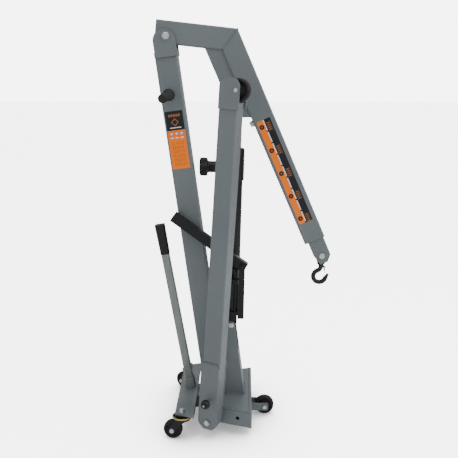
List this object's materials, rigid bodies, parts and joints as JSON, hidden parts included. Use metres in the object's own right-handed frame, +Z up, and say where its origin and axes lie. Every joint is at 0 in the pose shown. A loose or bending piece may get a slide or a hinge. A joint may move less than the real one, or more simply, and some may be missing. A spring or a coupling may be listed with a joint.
{
  "type": "folding engine hoist crane",
  "caption": "Folding hydraulic engine hoist stored upright: leaning mast, bent boom with sliding extension and swivel hook, hydraulic ram, folded splayed legs on casters.",
  "frame": {"origin": "on the floor under the middle of the folded crane", "axes": "+X is the way the boom and the unfolded legs point, +Z is up, -Y is the near side"},
  "size_m": [0.7105, 0.5836, 1.6166],
  "materials": {
    "grey_paint": "satin",
    "black_paint": "satin",
    "zinc_steel": "satin",
    "chrome_rod": "polished",
    "forged_hook": "satin",
    "black_rubber": "matt",
    "black_plastic": "satin",
    "galvanised_bar": "satin",
    "black_wheel": "matt"
  },
  "bodies": {
    "base": {"deck_plate": "grey_paint", "rear_cross_plate": "grey_paint", "base_spine": "grey_paint", "leg_brackets": "grey_paint", "lock_lugs": "grey_paint", "front_plate": "grey_paint", "front_fork_arms": "grey_paint", "front_axle": "zinc_steel", "mast_tube": "grey_paint", "mast_cheeks": "grey_paint", "boom_pivot_bolt": "zinc_steel", "push_bars": "grey_paint", "push_bar_grips": "black_rubber", "ram_pedestal": "grey_paint", "ram_foot_bolt": "zinc_steel", "handle_socket": "grey_paint", "leg_pivot_bolts": "zinc_steel", "caster_stem_nuts": "zinc_steel"},
    "boom": {"boom_arm": "grey_paint", "boom_jib": "grey_paint", "boom_gusset": "grey_paint", "boom_pivot_bush": "zinc_steel", "ram_top_bolt_ends": "zinc_steel", "extension_clamp_bolt": "zinc_steel"},
    "extension": {"extension_tube": "grey_paint", "hook_bolt": "zinc_steel"},
    "hook_block": {"hook_clevis": "black_paint"},
    "hook": {"crane_hook": "forged_hook"},
    "latch": {"hook_latch": "zinc_steel"},
    "ram": {"ram_block": "black_paint", "ram_cylinder": "black_paint", "ram_gland": "black_paint", "pump_body": "black_paint", "pump_links": "black_paint", "pump_link_pin": "zinc_steel", "valve_plugs": "zinc_steel"},
    "rod": {"ram_rod": "chrome_rod", "ram_top_pin": "zinc_steel"},
    "knob": {"release_knob": "black_plastic"},
    "lever": {"lever_socket": "black_paint"},
    "plunger": {"pump_plunger": "chrome_rod"},
    "near_leg": {"near_leg_tube": "grey_paint", "near_leg_plates": "grey_paint", "near_leg_axle": "zinc_steel"},
    "near_leg_roller": {"near_leg_wheel": "black_wheel"},
    "near_lock": {"near_lock_pin": "zinc_steel"},
    "far_leg": {"far_leg_tube": "grey_paint", "far_leg_plates": "grey_paint", "far_leg_axle": "zinc_steel"},
    "far_leg_roller": {"far_leg_wheel": "black_wheel"},
    "far_lock": {"far_lock_pin": "zinc_steel"},
    "near_caster": {"near_caster_fork": "black_paint", "near_caster_axle": "zinc_steel"},
    "near_caster_roller": {"near_caster_wheel": "black_wheel"},
    "far_caster": {"far_caster_fork": "black_paint", "far_caster_axle": "zinc_steel"},
    "far_caster_roller": {"far_caster_wheel": "black_wheel"},
    "front_roller": {"front_wheel": "black_wheel"},
    "handle": {"pump_handle_bar": "galvanised_bar", "pump_handle_grip": "black_rubber"}
  },
  "joints": [
    {"name": "boom_lift", "type": "hinge", "parent": "base", "child": "boom", "pos_m": [-0.29589, 0, 1.55513], "axis": [0, -1, 0], "range_deg": [0, 80]},
    {"name": "extension_slide", "type": "slide", "parent": "boom", "child": "extension", "axis": [0.4003, 0, -0.9164], "range_m": [0, 0.39]},
    {"name": "hook_block_swing", "type": "hinge", "parent": "extension", "child": "hook_block", "pos_m": [0.31359, 0, 0.70236], "axis": [0, 1, 0], "range_deg": [-50, 50]},
    {"name": "hook_swivel", "type": "hinge", "parent": "hook_block", "child": "hook", "pos_m": [0.31359, 0, 0.65236], "axis": [0, 0, 1], "continuous": true},
    {"name": "latch_open", "type": "hinge", "parent": "hook", "child": "latch", "pos_m": [0.32809, 0, 0.64836], "axis": [0, 1, 0], "range_deg": [0, 28], "stiffness_Nm_per_rad": 0.05, "springref_deg": -34.38},
    {"name": "ram_tilt", "type": "hinge", "parent": "base", "child": "ram", "pos_m": [-0.05, 0, 0.418], "axis": [0, -1, 0], "range_deg": [-1.14, 0]},
    {"name": "rod_lift", "type": "slide", "parent": "ram", "child": "rod", "axis": [0.0269, 0, 0.9996], "range_m": [0, 0.4826]},
    {"name": "release_knob_turn", "type": "hinge", "parent": "ram", "child": "knob", "pos_m": [-0.14385, 0, 1.05775], "axis": [-0.9996, 0, 0.0269], "range_deg": [0, 270]},
    {"name": "lever_pump", "type": "hinge", "parent": "ram", "child": "lever", "pos_m": [-0.004, -0.062, 0.669], "axis": [0, -1, 0], "range_deg": [-15, 30]},
    {"name": "plunger_push", "type": "slide", "parent": "ram", "child": "plunger", "axis": [-0.0269, 0, -0.9996], "range_m": [-0.0068, 0.0136]},
    {"name": "near_leg_fold", "type": "hinge", "parent": "base", "child": "near_leg", "pos_m": [-0.113, -0.159, 0.075], "axis": [0.342, 0.9397, 0], "range_deg": [0, 86.27]},
    {"name": "near_leg_wheel_roll", "type": "hinge", "parent": "near_leg", "child": "near_leg_roller", "pos_m": [-0.01743, -0.23848, 1.36097], "axis": [0.342, 0.9397, 0], "continuous": true},
    {"name": "near_lock_pull", "type": "slide", "parent": "near_leg", "child": "near_lock", "axis": [-0.342, -0.9397, 0], "range_m": [-0.011, 0.006]},
    {"name": "far_leg_fold", "type": "hinge", "parent": "base", "child": "far_leg", "pos_m": [-0.113, 0.159, 0.075], "axis": [-0.342, 0.9397, 0], "range_deg": [0, 86.27]},
    {"name": "far_leg_wheel_roll", "type": "hinge", "parent": "far_leg", "child": "far_leg_roller", "pos_m": [-0.01743, 0.23848, 1.36097], "axis": [-0.342, 0.9397, 0], "continuous": true},
    {"name": "far_lock_pull", "type": "slide", "parent": "far_leg", "child": "far_lock", "axis": [-0.342, 0.9397, 0], "range_m": [-0.011, 0.006]},
    {"name": "near_caster_swivel", "type": "hinge", "parent": "base", "child": "near_caster", "pos_m": [-0.241, -0.221, 0.09], "axis": [0, 0, 1], "continuous": true},
    {"name": "near_caster_roll", "type": "hinge", "parent": "near_caster", "child": "near_caster_roller", "pos_m": [-0.27744, -0.21457, 0.038], "axis": [0.1736, 0.9848, 0], "continuous": true},
    {"name": "far_caster_swivel", "type": "hinge", "parent": "base", "child": "far_caster", "pos_m": [-0.241, 0.221, 0.09], "axis": [0, 0, 1], "continuous": true},
    {"name": "far_caster_roll", "type": "hinge", "parent": "far_caster", "child": "far_caster_roller", "pos_m": [-0.27167, 0.24169, 0.038], "axis": [0.5592, 0.829, 0], "continuous": true},
    {"name": "front_wheel_roll", "type": "hinge", "parent": "base", "child": "front_roller", "pos_m": [0.09, 0, 0.04], "axis": [0, 1, 0], "continuous": true},
    {"name": "handle_pull", "type": "slide", "parent": "base", "child": "handle", "axis": [-0.1668, 0, 0.986], "range_m": [0, 0.08]}
  ],
  "couplings": [
    {"joint": "ram_tilt", "follows": "boom_lift", "ratio": -0.009244},
    {"joint": "rod_lift", "follows": "boom_lift", "m_per_rad": 0.34277},
    {"joint": "plunger_push", "follows": "lever_pump", "m_per_rad": 0.023}
  ]
}
